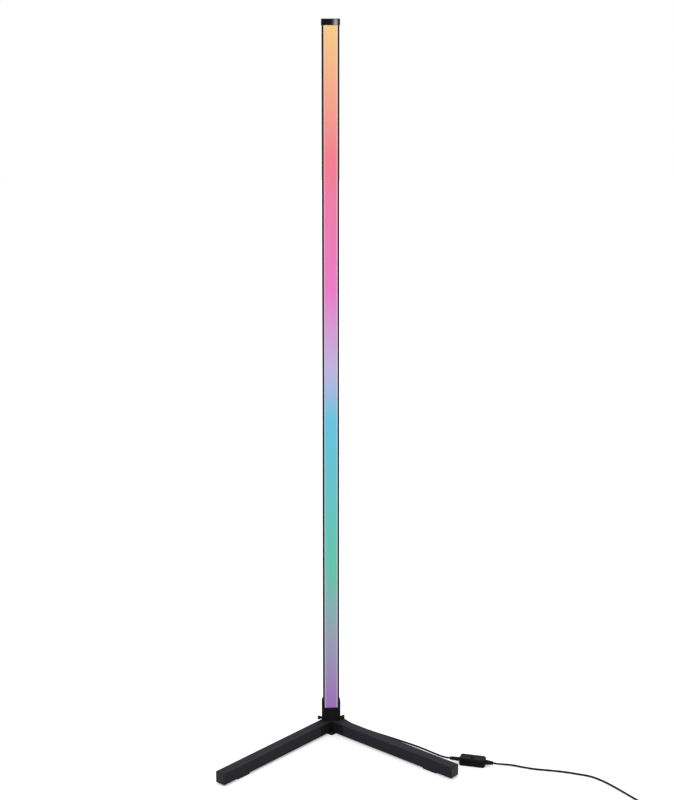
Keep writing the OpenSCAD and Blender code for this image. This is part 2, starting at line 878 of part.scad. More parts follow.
// A boot on the right end of the controller: flange inside, neck in the wall, taper outside.
module boot(length, root_r, tip_r) {
    wall_in = ctrl_len / 2 - ctrl_wall;
    face = ctrl_len / 2;
    step = (root_r - tip_r) / 4;
    color(rubber_black) translate([0, 0, cord_axis_z]) rotate([0, 90, 0]) rotate_extrude() polygon(concat(
        [[0, wall_in - boot_flange_t], [boot_flange_d / 2, wall_in - boot_flange_t],
            [boot_flange_d / 2, wall_in], [boot_neck_d / 2, wall_in], [boot_neck_d / 2, face],
            [root_r, face]],
        [for (i = [1:3]) let (z = face + i * length / 4, r = root_r - i * step) each [
            [r, z - 0.8], [r - 0.5, z - 0.5], [r - 0.5, z + 0.1], [r, z + 0.4]]],
        [[tip_r, face + length], [0, face + length]]));
}

module lead_boot() {
    on_controller() mirror([1, 0, 0]) boot(lead_boot_len, 4.4, cord_r + 1.8);
}

module cord_boot() {
    on_controller() boot(cord_boot_len, 5.2, cord_r + 1.6);
}

// ---------- the plug, along -X ----------

module plug_grip() {
    corner = 2;
    color(rubber_black) translate(plug_at) {
        rotate([0, -90, 0]) rotate_extrude() polygon([
            [0, 0], [cord_r + 0.7, 0], [cord_r + 1.4, plug_boot], [0, plug_boot]]);
        translate([-plug_boot, 0, 0]) rotate([90, 0, -90]) difference() {
            linear_extrude(grip_len) rounded(grip_w / 2, -grip_h / 2, grip_h / 2, corner, corner);
            for (side = [-1, 1]) for (i = [0:2])
                translate([side * (grip_w / 2 + 0.3), 0, 6 + i * 3.5])
                    cube([1.4, grip_h + 2, 1.2], center = true);
            translate([-shell_w / 2 - snug, -shell_h / 2 - snug, grip_len - 4])
                cube([shell_w + 2 * snug, shell_h + 2 * snug, 4 + reach]);
        }
    }
}

module on_plug_face() {
    translate(plug_at - [plug_boot + grip_len - 4, 0, 0]) rotate([90, 0, -90]) children();
}

module plug_shell() {
    length = shell_len + 4;
    color("silver") on_plug_face() difference() {
        translate([-shell_w / 2, -shell_h / 2, 0]) cube([shell_w, shell_h, length]);
        translate([shell_t - shell_w / 2, shell_t - shell_h / 2, 1])
            cube([shell_w - 2 * shell_t, shell_h - 2 * shell_t, length]);
        for (side = [-1, 1]) translate([side * 2.6 - 1.1, -shell_h / 2 - reach, length - 8])
            cube([2.2, shell_h + 2 * reach, 2.4]);
    }
}

module plug_tongue() {
    color("white") on_plug_face() translate([0.1 + shell_t - shell_w / 2, shell_t - shell_h / 2, 1])
        cube([shell_w - 2 * shell_t - 0.2, 1.9, shell_len + 2]);
}

module plug_contacts() {
    color("gold") on_plug_face() for (i = [-1.5:1:1.5])
        translate([i * contact_pitch - contact_w / 2, shell_t + 1.9 - shell_h / 2, 9])
            cube([contact_w, 0.2, shell_len - 6.5]);
}

lower_profile();
middle_profile();
upper_profile();
lower_joiner();
upper_joiner();
column_screws();
diffuser();
led_strip();
led_chips();
strip_connector();
top_cap();
base_plug();
hub();
hub_foot();
thumb_screw_left();
thumb_screw_right();
left_leg();
right_leg();
left_end_cap();
right_end_cap();
left_foot();
right_foot();
leg_screws();
cable_gland();
inner_lead();
lamp_lead();
controller_base();
controller_cover();
controller_board();
tact_switch();
controller_button();
controller_screws();
lead_boot();
cord_boot();
supply_cord();
cord_coil();
coil_tie();
plug_tail();
plug_grip();
plug_shell();
plug_tongue();
plug_contacts();
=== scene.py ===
"""Corner floor lamp: looks, cords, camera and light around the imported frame."""

import json
import math

import bmesh
import bpy
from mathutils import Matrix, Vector


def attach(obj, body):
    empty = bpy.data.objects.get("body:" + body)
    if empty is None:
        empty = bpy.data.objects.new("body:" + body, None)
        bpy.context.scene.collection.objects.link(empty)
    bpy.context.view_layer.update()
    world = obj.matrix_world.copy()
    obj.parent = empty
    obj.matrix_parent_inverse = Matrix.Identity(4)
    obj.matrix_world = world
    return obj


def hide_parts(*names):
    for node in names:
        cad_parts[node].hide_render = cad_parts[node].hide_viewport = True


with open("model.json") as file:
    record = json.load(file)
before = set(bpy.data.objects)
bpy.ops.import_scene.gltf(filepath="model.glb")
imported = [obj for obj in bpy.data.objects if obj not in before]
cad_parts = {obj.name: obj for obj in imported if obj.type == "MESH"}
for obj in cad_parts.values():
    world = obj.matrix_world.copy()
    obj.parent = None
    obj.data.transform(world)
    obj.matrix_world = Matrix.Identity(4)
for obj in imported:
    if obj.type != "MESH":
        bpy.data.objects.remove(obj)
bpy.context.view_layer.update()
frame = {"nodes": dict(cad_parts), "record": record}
nodes = frame["nodes"]

MM = 0.001


# ---------- camera ----------

LENS, SENSOR = 74.25, 36
CAMERA_AT = (-0.17974, -3.05337, 1.48427)
LOOKS_DOWN, LOOKS_RIGHT = 0.2548, 0.0628       # radians


def make_camera():
    data = bpy.data.cameras.new("photo_camera")
    data.lens = LENS
    data.sensor_width = SENSOR
    data.clip_start, data.clip_end = 0.05, 200
    camera = bpy.data.objects.new("photo_camera", data)
    camera.location = CAMERA_AT
    camera.rotation_euler = (math.pi / 2 - LOOKS_DOWN, 0, -LOOKS_RIGHT)
    bpy.context.scene.collection.objects.link(camera)
    bpy.context.scene.camera = camera


make_camera()


# ---------- cords ----------

CORD_D = 3.8 * MM

# The coil: four turns inwards on the floor, up at the inside, and three turns out on top.
COIL_CENTRE = (556, -400)
COIL_RADII = (26.7, 22.9, 19.1, 15.3)
COIL_LOW, COIL_HIGH = 2.8, 6.6
COIL_START = 31.8          # degrees, where the cord joins the coil
COIL_TURNED = 2542         # degrees that the cord winds, clockwise
COIL_STEP = 20             # degrees from one of its points to the next
COIL_SHIFTS = [(250, 0, 1), (610, 1, 2), (970, 2, 3),      # degrees turned, and the rings
               (1570, 3, 2), (1930, 2, 1), (2290, 1, 0)]   # that it changes between
SHIFT_TAKES = 60
COIL_RISE = (1260, 1330)

GLAND_END, GLAND_Z = 23, 11        # where the lead leaves the hub's gland
PLUG_AT = (536, -432, 4)           # where the cord enters the plug's boot

# The cords' ways over the floor, in millimetres.
LEAD_WAY = [
    (0, GLAND_END, GLAND_Z), (0.1, 28.3, 10.9), (3.2, 35, 9.7), (10.3, 39.8, 7.8), (20, 40.3, 5.7),
    (28.8, 35.5, 4), (40, 21.5, 2.4), (55.5, 5, 2), (72, -10.8, 2), (90, -26.4, 2),
    (108, -41.3, 2), (127, -57, 2), (145, -72.2, 2), (161, -87.3, 2.5), (177, -105, 3.4),
    (192.5, -125.5, 4.9), (205.5, -142, 6.3), (214.5, -150.7, 7.3), (222.274, -154.039, 7.5)]
SUPPLY_WAY = [
    (301.933, -180.692, 7.5), (311, -182.4, 6.4), (324, -180.4, 4), (338, -180.8, 2.4),
    (357, -189.5, 2), (379, -199, 2), (404, -205.8, 2), (430, -213.3, 2), (456, -223.8, 2),
    (481, -236.3, 2), (498, -253.5, 2), (512, -273.5, 2), (527, -298.5, 2), (541, -323, 2),
    (556, -348, 2), (569, -371, 2.5)]
TAIL_WAY = [
    (585, -406, 6.2), (583, -419, 4.6), (573, -429, 3), (559, -432, 2.4), (546, -432, 3.2),
    PLUG_AT]


def ramp(value, start, end):
    """0 before start, 1 after end, and smooth between."""
    t = min(max((value - start) / (end - start), 0), 1)
    return t * t * (3 - 2 * t)


def coil_point(turned):
    """The coil's point after so many degrees."""
    radius = COIL_RADII[0]
    for start, before, after in COIL_SHIFTS:
        radius += (COIL_RADII[after] - COIL_RADII[before]) * ramp(
            turned, start, start + SHIFT_TAKES)
    height = COIL_LOW + (COIL_HIGH - COIL_LOW) * ramp(turned, *COIL_RISE)
    angle = math.radians(COIL_START - turned)
    return (COIL_CENTRE[0] + radius * math.cos(angle),
            COIL_CENTRE[1] + radius * math.sin(angle), height)


def lay_cord(name, way, leaves, arrives):
    """A round cord through the way's points, which leaves and arrives along two directions."""
    data = bpy.data.curves.new(name, "CURVE")
    data.dimensions = "3D"
    data.bevel_depth = 1      # times each point's radius
    data.bevel_resolution = 5
    data.resolution_u = 6
    data.use_fill_caps = True
    line = data.splines.new("BEZIER")
    line.bezier_points.add(len(way) - 1)
    places = [Vector(place) * MM for place in way]
    for i, point in enumerate(line.bezier_points):
        here = places[i]
        before, after = places[max(i - 1, 0)], places[min(i + 1, len(places) - 1)]
        ahead = (after - before).normalized()
        if i == 0:
            ahead = Vector(leaves).normalized()
        if i == len(places) - 1:
            ahead = Vector(arrives).normalized()
        point.co = here
        point.radius = CORD_D / 2
        point.handle_left_type = point.handle_right_type = "FREE"
        point.handle_left = here - ahead * max((here - before).length, 0.001) / 3
        point.handle_right = here + ahead * max((after - here).length, 0.001) / 3
    cord = bpy.data.objects.new(name, data)
    bpy.context.scene.collection.objects.link(cord)
    return cord


CTRL_AT = (264, -168, 0)   # the middle of the controller, on the floor
CTRL_TURN = -18.5          # degrees, the way that the controller lies
CTRL_AXIS = (math.cos(math.radians(CTRL_TURN)), math.sin(math.radians(CTRL_TURN)), 0)

lead = lay_cord("lead_to_controller", LEAD_WAY, (0, 1, 0), CTRL_AXIS)
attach(lead, "lamp")
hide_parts("lamp_lead")

coil_way = [coil_point(turned) for turned in (*range(0, COIL_TURNED, COIL_STEP), COIL_TURNED)]
supply = lay_cord("supply_lead", SUPPLY_WAY + coil_way + TAIL_WAY, CTRL_AXIS, (-1, 0, 0))
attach(supply, "lamp")
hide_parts("supply_cord", "cord_coil", "plug_tail")


# ---------- node groups ----------

def new_group(name, inputs, outputs):
    """An empty shader group. Inputs are (name, kind, default), outputs (name, kind)."""
    group = bpy.data.node_groups.new(name, "ShaderNodeTree")
    for label, kind, default in inputs:
        socket = group.interface.new_socket(label, in_out="INPUT", socket_type=kind)
        if default is not None:
            socket.default_value = default
    for label, kind in outputs:
        group.interface.new_socket(label, in_out="OUTPUT", socket_type=kind)
    return group, group.nodes.new("NodeGroupInput"), group.nodes.new("NodeGroupOutput")


def add(tree, kind, settings=None, **inputs):
    """A node with its settings and its inputs, which are values or other nodes' outputs.

    An input is named by its label, or as i0, i1 and so on by its place in the node.
    """
    node = tree.nodes.new(kind)
    for key, value in (settings or {}).items():
        setattr(node, key, value)
    for key, value in inputs.items():
        socket = node.inputs[int(key[1:])] if key[0] == "i" and key[1:].isdigit() else (
            node.inputs[key.replace("_", " ")])
        if isinstance(value, bpy.types.NodeSocket):
            tree.links.new(value, socket)
        else:
            socket.default_value = value
    return node


FLOAT, COLOR, VECTOR = "NodeSocketFloat", "NodeSocketColor", "NodeSocketVector"


def make_grain_group():
    """Fine even texture, as of powder coat or a moulded skin, with broad patches of gloss."""
    group, given, out = new_group(
        "fine_grain",
        [("Vector", VECTOR, None), ("Scale", FLOAT, 1500.0), ("Patch Scale", FLOAT, 14.0),
         ("Smoothest", FLOAT, 0.4), ("Roughest", FLOAT, 0.6)],
        [("Height", FLOAT), ("Roughness", FLOAT), ("Patches", FLOAT), ("Tone", FLOAT)])
    fine = add(group, "ShaderNodeTexNoise", Vector=given.outputs["Vector"],
               Scale=given.outputs["Scale"], Detail=3.0, Roughness=0.6)
    patches = add(group, "ShaderNodeTexNoise", Vector=given.outputs["Vector"],
                  Scale=given.outputs["Patch Scale"], Detail=4.0, Roughness=0.55)
    both = add(group, "ShaderNodeMath", {"operation": "MULTIPLY_ADD"},
               i0=fine.outputs["Fac"], i1=0.4, i2=patches.outputs["Fac"])
    gloss = add(group, "ShaderNodeMapRange", Value=both.outputs[0], From_Min=0.45,
                From_Max=0.95, To_Min=given.outputs["Smoothest"],
                To_Max=given.outputs["Roughest"])
    group.links.new(fine.outputs["Fac"], out.inputs["Height"])
    group.links.new(gloss.outputs["Result"], out.inputs["Roughness"])
    group.links.new(patches.outputs["Fac"], out.inputs["Patches"])
    speckled = add(group, "ShaderNodeMapRange", Value=both.outputs[0], From_Min=0.45,
                   From_Max=0.95)
    group.links.new(speckled.outputs["Result"], out.inputs["Tone"])
    return group


def make_lines_group():
    """Fine lines that run along one axis, as on drawn or brushed metal."""
    group, given, out = new_group(
        "drawn_lines",
        [("Vector", VECTOR, None), ("Across", VECTOR, (900.0, 900.0, 6.0)),
         ("Smoothest", FLOAT, 0.25), ("Roughest", FLOAT, 0.45)],
        [("Height", FLOAT), ("Roughness", FLOAT), ("Lines", FLOAT)])
    stretched = add(group, "ShaderNodeVectorMath", {"operation": "MULTIPLY"},
                    i0=given.outputs["Vector"], i1=given.outputs["Across"])
    lines = add(group, "ShaderNodeTexNoise", Vector=stretched.outputs[0], Scale=1.0,
                Detail=3.0, Roughness=0.65)
    gloss = add(group, "ShaderNodeMapRange", Value=lines.outputs["Fac"], From_Min=0.3,
                From_Max=0.7, To_Min=given.outputs["Smoothest"],
                To_Max=given.outputs["Roughest"])
    group.links.new(lines.outputs["Fac"], out.inputs["Height"])
    group.links.new(gloss.outputs["Result"], out.inputs["Roughness"])
    group.links.new(lines.outputs["Fac"], out.inputs["Lines"])
    return group


def make_dust_and_sheen_group():
    """Lighter on what faces up, thinner where patches say so: settled dust and a painted sheen of
    overhead light on the tops.
    """
    group, given, out = new_group(
        "dust_and_top_sheen",
        [("Color", COLOR, (0.02, 0.02, 0.02, 1)), ("Dust", COLOR, (0.1, 0.1, 0.1, 1)),
         ("Amount", FLOAT, 0.2), ("Patches", FLOAT, 0.5)],
        [("Color", COLOR)])
    facing = add(group, "ShaderNodeNewGeometry")
    parts = add(group, "ShaderNodeSeparateXYZ", Vector=facing.outputs["Normal"])
    up = add(group, "ShaderNodeMapRange", Value=parts.outputs["Z"], From_Min=0.2,
             From_Max=1.0, To_Min=0.0, To_Max=1.0)
    share = add(group, "ShaderNodeMath", {"operation": "MULTIPLY"},
                i0=up.outputs["Result"], i1=given.outputs["Amount"])
    patchy = add(group, "ShaderNodeMath", {"operation": "MULTIPLY"},
                 i0=share.outputs[0], i1=given.outputs["Patches"])
    mixed = add(group, "ShaderNodeMix", {"data_type": "RGBA"}, i0=patchy.outputs[0],
                i6=given.outputs["Color"], i7=given.outputs["Dust"])
    group.links.new(mixed.outputs[2], out.inputs["Color"])
    return group


GRAIN = make_grain_group()
LINES = make_lines_group()
# settled dust and a painted sheen that lighten what faces up
DUST_AND_SHEEN = make_dust_and_sheen_group()


# ---------- materials ----------

def new_material(name, **constants):
    """A material with its Principled BSDF and Object coordinates; constants go on the shader."""
    material = bpy.data.materials.new(name)
    material.use_nodes = True
    tree = material.node_tree
    shader = tree.nodes["Principled BSDF"]
    for key, value in constants.items():
        shader.inputs[key.replace("_", " ")].default_value = value
    place = tree.nodes.new("ShaderNodeTexCoord").outputs["Object"]
    return material, tree, shader, place


def use(tree, group, **inputs):
    return add(tree, "ShaderNodeGroup", {"node_tree": group}, **inputs)


def bump(tree, shader, height, strength, depth):
    node = add(tree, "ShaderNodeBump", Height=height, Strength=strength, Distance=depth)
    tree.links.new(node.outputs["Normal"], shader.inputs["Normal"])


def grained(name, color, smoothest, roughest, scale=1500.0, depth=0.00004, strength=0.35,
            dust=0.0, dust_and_sheen_color=(0.12, 0.115, 0.13), patch_scale=14.0, shade=0.62, **constants):
    """A coated, moulded or rubber finish: fine grain, patches of gloss, and settled dust with a
    painted sheen on what faces up.
    """
    material, tree, shader, place = new_material(name, **constants)
    grain = use(tree, GRAIN, Vector=place, Scale=scale, Patch_Scale=patch_scale,
                Smoothest=smoothest, Roughest=roughest)
    tone = add(tree, "ShaderNodeMix", {"data_type": "RGBA"}, i0=grain.outputs["Tone"],
               i6=tuple(shade * c for c in color) + (1,),
               i7=tuple((2 - shade) * c for c in color) + (1,))
    # settled dust and a painted sheen make what faces up lighter, in a lilac grey
    dust_and_sheen_mixed = use(tree, DUST_AND_SHEEN, Color=tone.outputs[2], Dust=dust_and_sheen_color + (1,), Amount=dust,
                Patches=grain.outputs["Patches"])
    tree.links.new(dust_and_sheen_mixed.outputs["Color"], shader.inputs["Base Color"])
    tree.links.new(grain.outputs["Roughness"], shader.inputs["Roughness"])
    bump(tree, shader, grain.outputs["Height"], strength, depth)
    return material


def lined(name, dark, light, across, smoothest, roughest, depth=0.00001, strength=0.25,
          **constants):
    """A drawn or brushed metal."""
    material, tree, shader, place = new_material(name, **constants)
    lines = use(tree, LINES, Vector=place, Across=across, Smoothest=smoothest,
                Roughest=roughest)
    tone = add(tree, "ShaderNodeMix", {"data_type": "RGBA"}, i0=lines.outputs["Lines"],
               i6=dark + (1,), i7=light + (1,))
    tree.links.new(tone.outputs[2], shader.inputs["Base Color"])
    tree.links.new(lines.outputs["Roughness"], shader.inputs["Roughness"])
    bump(tree, shader, lines.outputs["Height"], strength, depth)
    return material


def woven(name, dark, light, pitch=0.0009, **constants):
    """A strap of fine loops: two sets of threads that cross, with a soft fuzz over them."""
    material, tree, shader, place = new_material(name, Specular_IOR_Level=0.2, **constants)
    threads = add(tree, "ShaderNodeVectorMath", {"operation": "SCALE"}, i0=place,
                  Scale=math.pi / pitch)
    waves = add(tree, "ShaderNodeVectorMath", {"operation": "SINE"}, i0=threads.outputs[0])
    parts = add(tree, "ShaderNodeSeparateXYZ", Vector=waves.outputs[0])
    crossed = add(tree, "ShaderNodeMath", {"operation": "MULTIPLY"}, i0=parts.outputs["X"],
                  i1=parts.outputs["Y"])
    fuzz = add(tree, "ShaderNodeTexNoise", Vector=place, Scale=2600.0, Detail=4.0)
    height = add(tree, "ShaderNodeMath", {"operation": "MULTIPLY_ADD"},
                 i0=crossed.outputs[0], i1=0.35, i2=fuzz.outputs["Fac"])
    tone = add(tree, "ShaderNodeMix", {"data_type": "RGBA"}, i0=height.outputs[0],
               i6=dark + (1,), i7=light + (1,))
    gloss = add(tree, "ShaderNodeMapRange", Value=height.outputs[0], To_Min=0.7, To_Max=0.9)
    tree.links.new(tone.outputs[2], shader.inputs["Base Color"])
    tree.links.new(gloss.outputs["Result"], shader.inputs["Roughness"])
    bump(tree, shader, height.outputs[0], 0.6, 0.00015)
    return material


def srgb(*values):
    """A colour written as on screen, 0 to 255, as the linear values that a shader takes."""
    out = []
    for value in values:
        v = value / 255
        out.append(v / 12.92 if v <= 0.04045 else ((v + 0.055) / 1.055) ** 2.4)
    return tuple(out)


# The light's nine colours: height above the floor in millimetres, and the colour there.
GLOW = [
    (50, srgb(155, 105, 180)),        # violet
    (200, srgb(150, 155, 180)),       # mauve
    (350, srgb(95, 195, 170)),        # sea green
    (650, srgb(95, 195, 225)),        # sky blue
    (750, srgb(190, 180, 225)),       # lilac
    (900, srgb(235, 120, 200)),       # orchid
    (1050, srgb(240, 120, 170)),      # rose
    (1150, srgb(245, 120, 140)),      # coral
    (1400, srgb(250, 205, 130))]      # peach

GLOW_LEVEL = 0.84
PALE_BAND = (9.6, 11.6)         # millimetres from the middle, where the band starts and is full
PALE_SHARE = 0.3


def make_diffuser_material():
    """Opal plastic over many coloured lights: one colour runs into the next up the column."""
    material, tree, shader, place = new_material(
        "lit_opal", Roughness=0.42, Specular_IOR_Level=0.3)
    parts = add(tree, "ShaderNodeSeparateXYZ", Vector=place)
    low, high = GLOW[0][0] * MM, GLOW[-1][0] * MM
    height = add(tree, "ShaderNodeMapRange", Value=parts.outputs["Z"], From_Min=low,
                 From_Max=high)
    ramp_node = tree.nodes.new("ShaderNodeValToRGB")
    stops = ramp_node.color_ramp.elements
    stops.remove(stops[1])
    stops[0].color = GLOW[0][1] + (1,)
    for z, color in GLOW[1:]:
        stops.new((z * MM - low) / (high - low)).color = color + (1,)
    tree.links.new(height.outputs["Result"], ramp_node.inputs["Fac"])
    glow = ramp_node.outputs["Color"]

    # faint streaks along the extrusion
    stretched = add(tree, "ShaderNodeVectorMath", {"operation": "MULTIPLY"}, i0=place,
                    i1=(420.0, 20.0, 1.2))
    streaks = add(tree, "ShaderNodeTexNoise", Vector=stretched.outputs[0], Scale=1.0,
                  Detail=2.0, Roughness=0.5)
    streak = add(tree, "ShaderNodeMapRange", Value=streaks.outputs["Fac"], From_Min=0.3,
                 From_Max=0.7, To_Min=0.96, To_Max=1.03)

    # paler bands where the edges pipe the light
    side = add(tree, "ShaderNodeMath", {"operation": "ABSOLUTE"}, i0=parts.outputs["X"])
    edge = add(tree, "ShaderNodeMapRange", {"interpolation_type": "SMOOTHSTEP"},
               Value=side.outputs[0], From_Min=PALE_BAND[0] * MM, From_Max=PALE_BAND[1] * MM,
               To_Max=PALE_SHARE)
    paler = add(tree, "ShaderNodeMix", {"data_type": "RGBA"}, i0=edge.outputs["Result"],
                i6=glow, i7=srgb(238, 232, 240) + (1,))
    toned = add(tree, "ShaderNodeVectorMath", {"operation": "SCALE"}, i0=paler.outputs[2],
                Scale=streak.outputs["Result"])
    tree.links.new(toned.outputs[0], shader.inputs["Emission Color"])
    shader.inputs["Emission Strength"].default_value = GLOW_LEVEL
    body = add(tree, "ShaderNodeMix", {"data_type": "RGBA"}, i0=0.1, i6=(0.0, 0.0, 0.0, 1),
               i7=toned.outputs[0])
    tree.links.new(body.outputs[2], shader.inputs["Base Color"])
    fine = add(tree, "ShaderNodeTexNoise", Vector=place, Scale=1800.0, Detail=2.0)
    bump(tree, shader, fine.outputs["Fac"], 0.15, 0.00003)
    return material


MATERIALS = {
    "black_anodised": lined(
        "black_anodised", (0.0015, 0.0014, 0.002), (0.005, 0.0046, 0.0065), (1100.0, 1100.0, 4.0),
        0.34, 0.48, Metallic=0.0, Specular_IOR_Level=0.12),
    "black_powder": grained(
        "black_powder_coat", (0.0098, 0.0093, 0.0137), 0.5, 0.66, scale=1300.0, depth=0.00006,
        strength=0.4, dust=0.08, Specular_IOR_Level=0.103),
    "black_plastic": grained(
        "satin_black_plastic", (0.005, 0.0046, 0.0062), 0.34, 0.48, scale=2400.0,
        depth=0.00002, strength=0.25, dust=0.05, Specular_IOR_Level=0.165),
    "cap_gloss": grained(
        "cap_plastic", (0.0027, 0.0012, 0.005), 0.09, 0.13, scale=2400.0, depth=0.00001,
        strength=0.08, dust=0.02, Specular_IOR_Level=0.085),
    # the legs' black powder coat made darker for the hub: painted shade
    "hub_shaded_coat": grained(
        "hub_powder_coat_painted_shade", (0.0042, 0.0041, 0.0046), 0.52, 0.68, scale=1300.0, depth=0.00006,
        strength=0.4, dust=0.24, Specular_IOR_Level=0.065),
    "strap_weave": woven("strap_weave", (0.006, 0.006, 0.0068), (0.02, 0.02, 0.022)),
    "controller_plastic": grained(
        "controller_plastic", (0.0067, 0.006, 0.0063), 0.24, 0.36, scale=900.0,
        depth=0.00001, strength=0.2, dust=0.02, patch_scale=40.0, Specular_IOR_Level=0.035),
    "opal": make_diffuser_material(),
    "strip_white": grained(
        "strip_white", (0.72, 0.72, 0.69), 0.45, 0.6, scale=2000.0, shade=0.93),
    "chip": grained(
        "chip_phosphor", (0.82, 0.72, 0.34), 0.2, 0.35, scale=3000.0, shade=0.92),
    "rubber": grained(
        "black_rubber", (0.006, 0.006, 0.0066), 0.7, 0.85, scale=1100.0, depth=0.00006,
        strength=0.4, dust=0.15, Specular_IOR_Level=0.14),
    "cord_black": grained(
        "cord_pvc", (0.0032, 0.0031, 0.0036), 0.38, 0.52, scale=2600.0, depth=0.000015,
        strength=0.25, dust=0.03, patch_scale=60.0, shade=0.8,
        Specular_IOR_Level=0.1),
    "steel": lined(
        "zinc_plate", (0.42, 0.43, 0.45), (0.6, 0.61, 0.63), (700.0, 700.0, 700.0), 0.22,
        0.38, Metallic=1.0),
    "joiner_alloy": lined(
        "mill_finish_alloy", (0.5, 0.51, 0.53), (0.68, 0.69, 0.71), (1200.0, 1200.0, 8.0),
        0.28, 0.42, Metallic=1.0),
    "board_green": grained(
        "solder_mask", (0.014, 0.085, 0.03), 0.25, 0.4, scale=700.0, shade=0.8),
    "contact_gold": lined(
        "gold_flash", (0.74, 0.52, 0.2), (0.86, 0.66, 0.3), (900.0, 60.0, 900.0), 0.15, 0.28,
        Metallic=1.0),
}

for subpart in frame["record"]["subparts"]:
    node = nodes[subpart["node"]]
    node.data.materials.clear()
    node.data.materials.append(MATERIALS[subpart["material_slot"]])

for cord in (lead, supply):
    cord.data.materials.append(MATERIALS["cord_black"])


# ---------- modelling ----------

def deselect():
    for other in list(bpy.context.selected_objects):
        other.select_set(False)


def make_active(piece):
    deselect()
    piece.hide_viewport = piece.hide_render = False
    piece.select_set(True)
    bpy.context.view_layer.objects.active = piece


def apply_place(piece):
    make_active(piece)
    bpy.ops.object.transform_apply(location=True, rotation=True, scale=True)


def edit(piece):
    make_active(piece)
    bpy.ops.object.mode_set(mode="EDIT")


def leave():
    bpy.ops.object.mode_set(mode="OBJECT")


def start_block(name, low, high):
    """A block between two corners in millimetres, opened for editing."""
    deselect()
    bpy.ops.mesh.primitive_cube_add(
        size=1, location=[(a + b) / 2 * MM for a, b in zip(low, high)],
        scale=[(b - a) * MM for a, b in zip(low, high)])
    piece = bpy.context.object
    piece.name = piece.data.name = name
    apply_place(piece)
    edit(piece)
    return piece


def pick(piece, kind, test):
    """Selects the faces, edges or vertices that pass the test."""
    bpy.ops.mesh.select_mode(type=kind)
    bpy.ops.mesh.select_all(action="DESELECT")
    mesh = bmesh.from_edit_mesh(piece.data)
    for part in {"VERT": mesh.verts, "EDGE": mesh.edges, "FACE": mesh.faces}[kind]:
        if test(part):
            part.select_set(True)
    mesh.select_flush_mode()
    bmesh.update_edit_mesh(piece.data)


def middle(part):
    """The middle of a face, edge or vertex, in millimetres."""
    if isinstance(part, bmesh.types.BMVert):
        return part.co / MM
    return sum((v.co for v in part.verts), Vector()) / len(part.verts) / MM


def runs(edge, axis):
    """Whether an edge runs along an axis: 0 for X, 1 for Y, 2 for Z."""
    along = (edge.verts[1].co - edge.verts[0].co).normalized()
    return abs(along[axis]) > 0.99


def sharp(edge, least=0.6):
    return len(edge.link_faces) == 2 and edge.calc_face_angle(0) > least


def bevel(width, segments=3):
    bpy.ops.mesh.bevel(offset=width * MM, offset_type="OFFSET", segments=segments, profile=0.5,
                       affect="EDGES", clamp_overlap=False)


def inset(width, depth=0.0, each=False):
    bpy.ops.mesh.inset(thickness=width * MM, depth=depth * MM, use_individual=each)


def pull(x, y, z):
    """Extrudes what is selected by a move in millimetres."""
    bpy.ops.mesh.extrude_region_move(
        TRANSFORM_OT_translate={"value": (x * MM, y * MM, z * MM)})


def cut(place, normal):
    """Adds an edge loop all round where a plane passes."""
    bpy.ops.mesh.select_all(action="SELECT")
    bpy.ops.mesh.bisect(plane_co=[c * MM for c in place], plane_no=normal, threshold=1e-7)


def turned(name, profile, sides=32):
    """A turned body on +Z through (height, radius) pairs, opened for editing."""
    deselect()
    height, radius = profile[0]
    bpy.ops.mesh.primitive_circle_add(vertices=sides, radius=radius * MM, fill_type="NGON",
                                      location=(0, 0, height * MM))
    piece = bpy.context.object
    piece.name = piece.data.name = name
    apply_place(piece)
    edit(piece)
    bpy.ops.mesh.select_mode(type="FACE")
    bpy.ops.mesh.select_all(action="SELECT")
    for next_height, next_radius in profile[1:]:
        pull(0, 0, next_height - height)
        ratio = next_radius / radius
        bpy.ops.transform.resize(value=(ratio, ratio, 1),
                                 center_override=(0, 0, next_height * MM))
        height, radius = next_height, next_radius
    return piece


def close_up(piece):
    """Joins doubles and turns every face outwards."""
    edit(piece)
    bpy.ops.mesh.select_all(action="SELECT")
    bpy.ops.mesh.remove_doubles(threshold=1e-6)
    bpy.ops.mesh.normals_make_consistent(inside=False)
    leave()


def settle(piece, place, turn=(0, 0, 0), size=(1, 1, 1)):
    """Puts a piece in its place, in millimetres and degrees, and applies it."""
    piece.location = [c * MM for c in place]
    piece.rotation_euler = [math.radians(a) for a in turn]
    piece.scale = size
    apply_place(piece)


def twin_of(piece, name):
    make_active(piece)
    bpy.ops.object.duplicate(linked=False)
    twin = bpy.context.object
    twin.name = twin.data.name = name
    return twin


def join(main, *others):
    make_active(main)
    for other in others:
        other.select_set(True)
    bpy.ops.object.join()
    return main


def subtract(piece, cutter):
    """Takes the cutter's shape out of the piece, and deletes the cutter."""
    make_active(piece)
    modifier = piece.modifiers.new("cut", "BOOLEAN")
    modifier.operation, modifier.solver, modifier.object = "DIFFERENCE", "EXACT", cutter
    bpy.ops.object.modifier_apply(modifier=modifier.name)
    bpy.data.objects.remove(cutter)


def finish_piece(piece, slot, body, *replaced, smooth=35, finish=None):
    """Closes a piece up, smooths it, gives it its finish and lets it ride on its body."""
    close_up(piece)
    make_active(piece)
    bpy.ops.object.shade_smooth_by_angle(angle=math.radians(smooth))
    piece.data.materials.clear()
    piece.data.materials.append(MATERIALS[finish or slot])
    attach(piece, body)
    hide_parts(*replaced)
    return piece


# ---------- the cap ----------

CAP_HALF, CAP_FRONT, CAP_BACK = 17.2, -13.2, 11.2
CAP_LOW, CAP_TOP = 1388.5, 1400
CAP_WALL, CAP_DEEP = 1.05, 9.6
BACK_CORNER, FRONT_CORNER = 9.2, 1.6
CAP_RIM = 0.8
GROOVE = (CAP_TOP - 3.1, CAP_TOP - 2.2)
# How far the front lies behind its middle, at these distances from the middle.
CROWN = ((2.6, 0.02), (5.2, 0.07), (7.8, 0.15), (10.4, 0.27), (13, 0.43))
CROWN_ENDS = 0.6


